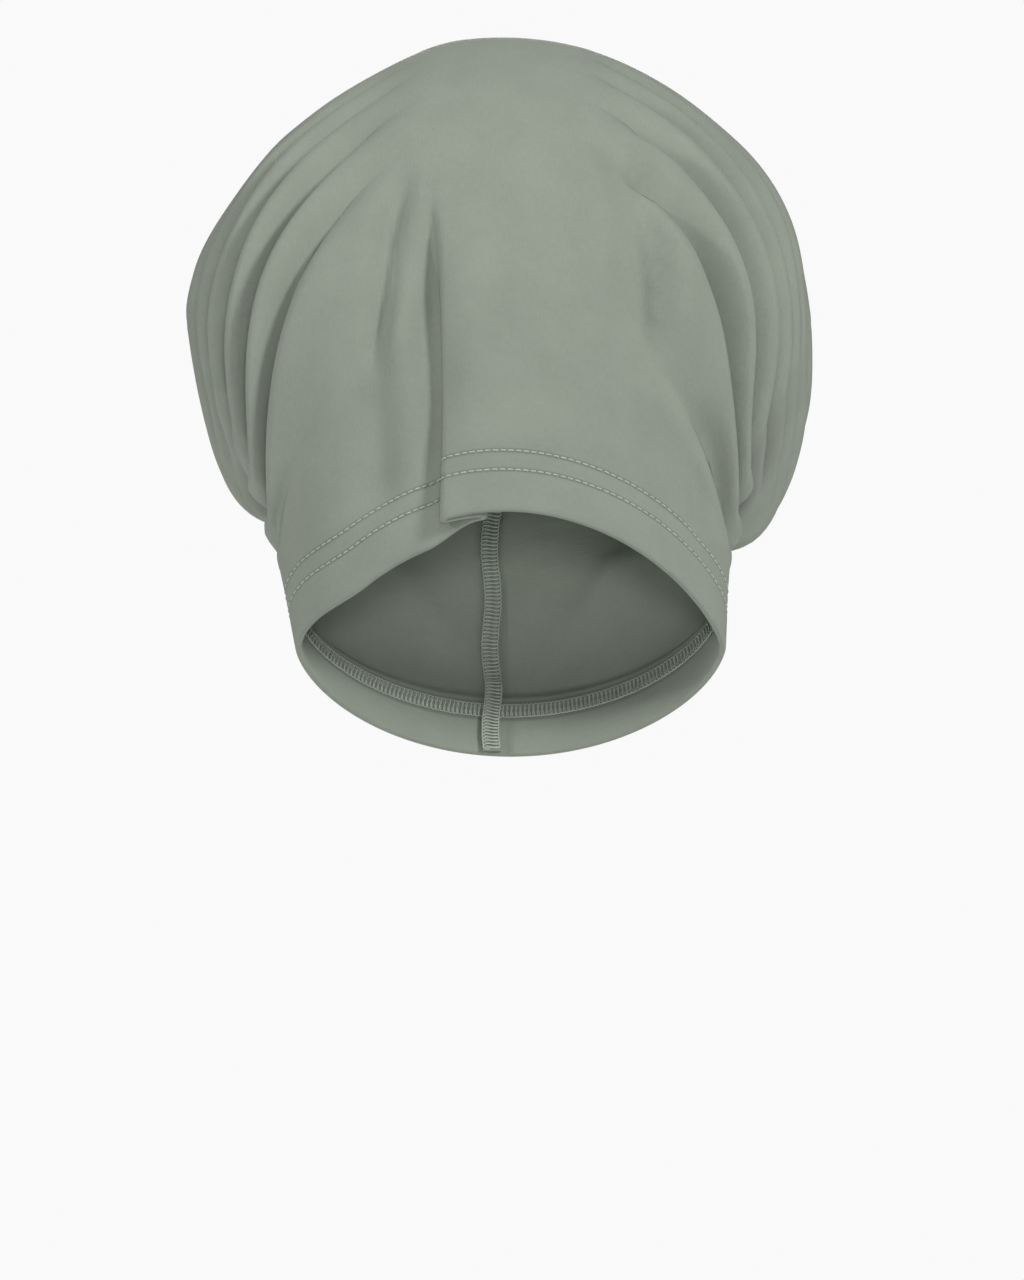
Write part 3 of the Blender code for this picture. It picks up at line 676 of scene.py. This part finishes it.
def add_loops(name, points, ways, hidden, width, step, lift):
    """Two threads that lace back and forth across a closed or open line."""
    keep = ~hidden
    points, ways = points[keep], ways[keep]
    run = np.concatenate([[0.0], np.cumsum(np.linalg.norm(np.diff(points, axis=0), axis=1))])
    count = int(run[-1] / step)
    turn = 2 * math.pi * np.arange(count * LOOP_POINTS) / LOOP_POINTS
    ahead = unit(np.gradient(points, axis=0))
    paths, ups = [], []
    for start in (0.0, math.pi):
        stop = run[-1] * turn / turn[-1] + step * LOOP_LEAN * np.sin(2 * (turn + start))
        across = width / 2 * np.cos(turn + start)
        height = lift + THREAD_RADIUS * (LOOP_RISE * np.sin(turn + start) + LOOP_RISE)
        spot, up, forward = [np.stack([np.interp(stop, run, line[:, k]) for k in range(3)], axis=1)
                             for line in (points, ways, ahead)]
        up, side = unit(up), unit(np.cross(up, forward))
        paths.append(spot + side * across[:, None] + up * height[:, None])
        ups.append(up)
    return add_threads(name, np.stack(paths), np.stack(ups), np.full(len(turn), THREAD_RADIUS), 5)


for end, share in (("rear", 1 - sum(STITCH_ROWS) / 2), ("face", sum(STITCH_ROWS) / 2)):
    points, ways, hidden = seam_line(share, -1)
    cover = add_loops(f"{end}_hem_cover", points, ways, hidden, COVER_WIDTH, COVER_STEP, 0.0)
    dress(cover, thread_finish)


# The nape seam
# The tube is closed by one overlocked seam. Its allowance, two raw edges trimmed together, stands on the
# inside of the nape as a narrow strip, and is caught down by the hem seams where it crosses them.
SEAM_HALF_STEPS = 3       # lines on each side of the strip's middle
STRIP_ROUNDING = 0.45     # how much thinner the strip is at its edges, as a share


def add_allowance():
    """The strip, with rounded edges, from rim to rim. It climbs onto each hem just before its edge."""
    depth = inner_depth(along[:, 0])
    climb = depth
    for shift in range(1, HEM_CLIMB_ROWS + 1):
        climb = np.maximum(climb, np.maximum(np.roll(depth, shift), np.roll(depth, -shift)))
    spine = middle[:, 0] - outward[:, 0] * climb[:, None]
    inward = -outward[:, 0]
    sideways = unit(np.cross(np.gradient(spine, axis=0), inward))
    run = np.concatenate([[0.0], np.cumsum(np.linalg.norm(np.diff(spine, axis=0), axis=1))])
    wander = SEAM_WANDER * np.sin(2 * math.pi * SEAM_WAVES * run / run[-1])
    spread = SEAM_WIDTH / 2 * np.sin(np.linspace(-1, 1, 2 * SEAM_HALF_STEPS + 1) * math.pi / 2)
    rounding = 1 - STRIP_ROUNDING * np.abs(np.linspace(-1, 1, 2 * SEAM_HALF_STEPS + 1)) ** 3
    lines = []
    for across in spread:
        lines.append(spine + sideways * (across + wander)[:, None] + inward * CLEARANCE)
    for across, thick in zip(spread[::-1], rounding[::-1]):
        top = CLEARANCE + SEAM_THICKNESS * thick
        lines.append(spine + sideways * (across + wander)[:, None] + inward * top)
    rings = np.stack(lines, axis=1)
    count, size = rings.shape[:2]
    faces = skin(count, size)[:(count - 1) * size].tolist()
    faces += [list(range(size))[::-1], [(count - 1) * size + k for k in range(size)]]
    ridge = spine + sideways * wander[:, None] + inward * (CLEARANCE + SEAM_THICKNESS)
    return add_mesh("nape_allowance", rings, faces), ridge, inward


allowance, seam_top, seam_up = add_allowance()
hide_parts("nape_seam")
dress(allowance, jersey_finish)
OVERLOCK_STEP = 0.0026
OVERLOCK_SHARE = 0.95     # width of the loops, as a share of the strip's
OVERLOCK_LIFT = -0.0002   # height of the lowest threads' middles over the strip's top
nothing_hidden = np.zeros(len(seam_top), bool)
overlock = add_loops(
    "nape_overlock", seam_top, seam_up, nothing_hidden, SEAM_WIDTH * OVERLOCK_SHARE, OVERLOCK_STEP, OVERLOCK_LIFT)
dress(overlock, thread_finish)


# Studio
# A pale floor far below the cap, and a near-white room. Behind the cap, the main soft light stands high on
# the right, with weaker ones on the left, above and beside the camera. A fifth, as strong as the main one,
# stands on the face side and lights the inside through the face opening.
FLOOR_HEIGHT = -0.75
FLOOR_RADIUS = 2.4
FLOOR_SIDES = 96
turns = 2 * math.pi * np.arange(FLOOR_SIDES) / FLOOR_SIDES
edge = np.stack(
    [FLOOR_RADIUS * np.cos(turns), FLOOR_RADIUS * np.sin(turns), 0 * turns + FLOOR_HEIGHT], axis=1)
floor = add_mesh("floor", edge, [tuple(range(FLOOR_SIDES))])
floor_finish = Finish("floor", Base_Color=(0.86, 0.86, 0.86, 1.0), Roughness=0.9)
floor.data.materials.append(floor_finish.material)

world = bpy.data.worlds.new("room")
world.use_nodes = True
bpy.context.scene.world = world
tree = world.node_tree
room = tree.nodes["Background"]
ROOM_SEEN = 0.95          # brightness of the room as seen behind the cap
ROOM_LIGHT = 0.04         # brightness of its light on the cap
seen_directly = tree.nodes.new("ShaderNodeLightPath")
strength = tree.nodes.new("ShaderNodeMapRange")
strength.inputs["To Min"].default_value = ROOM_LIGHT
strength.inputs["To Max"].default_value = ROOM_SEEN
tree.links.new(seen_directly.outputs["Is Camera Ray"], strength.inputs["Value"])
tree.links.new(strength.outputs["Result"], room.inputs["Strength"])
room.inputs["Color"].default_value = (1.0, 1.0, 1.0, 1.0)

# Soft lights: place, size, power
LIGHTS = [
    # x, y, z, size, watts
    (1.50, -1.35, 1.20, 0.40, 44.0),
    (-1.95, -0.90, 0.75, 0.50, 27.0),
    (0.00, -0.60, 1.80, 0.90, 13.0),
    (0.10, -2.30, 0.20, 0.50, 12.0),
    (0.00, 1.60, 0.10, 0.60, 45.0),
]
for x, y, z, size, watts in LIGHTS:
    lamp = bpy.data.lights.new("soft_light", "AREA")
    lamp.size = size
    lamp.energy = watts
    holder = bpy.data.objects.new("soft_light", lamp)
    holder.location = (x, y, z)
    holder.rotation_euler = (Vector((0.0, -0.05, -0.1)) - holder.location).to_track_quat("-Z", "Y").to_euler()
    bpy.context.collection.objects.link(holder)

# The camera looks level at the cap from straight behind.
camera_data = bpy.data.cameras.new("camera")
camera_data.sensor_fit = "VERTICAL"
camera_data.sensor_height = 24.0
camera_data.lens = 133.9
camera = bpy.data.objects.new("camera", camera_data)
camera.location = (0.0035, -2.53, -0.2094)
camera.rotation_euler = (math.pi / 2, 0.0, 0.0)
bpy.context.collection.objects.link(camera)
bpy.context.scene.camera = camera
bpy.context.scene.view_settings.view_transform = "Standard"
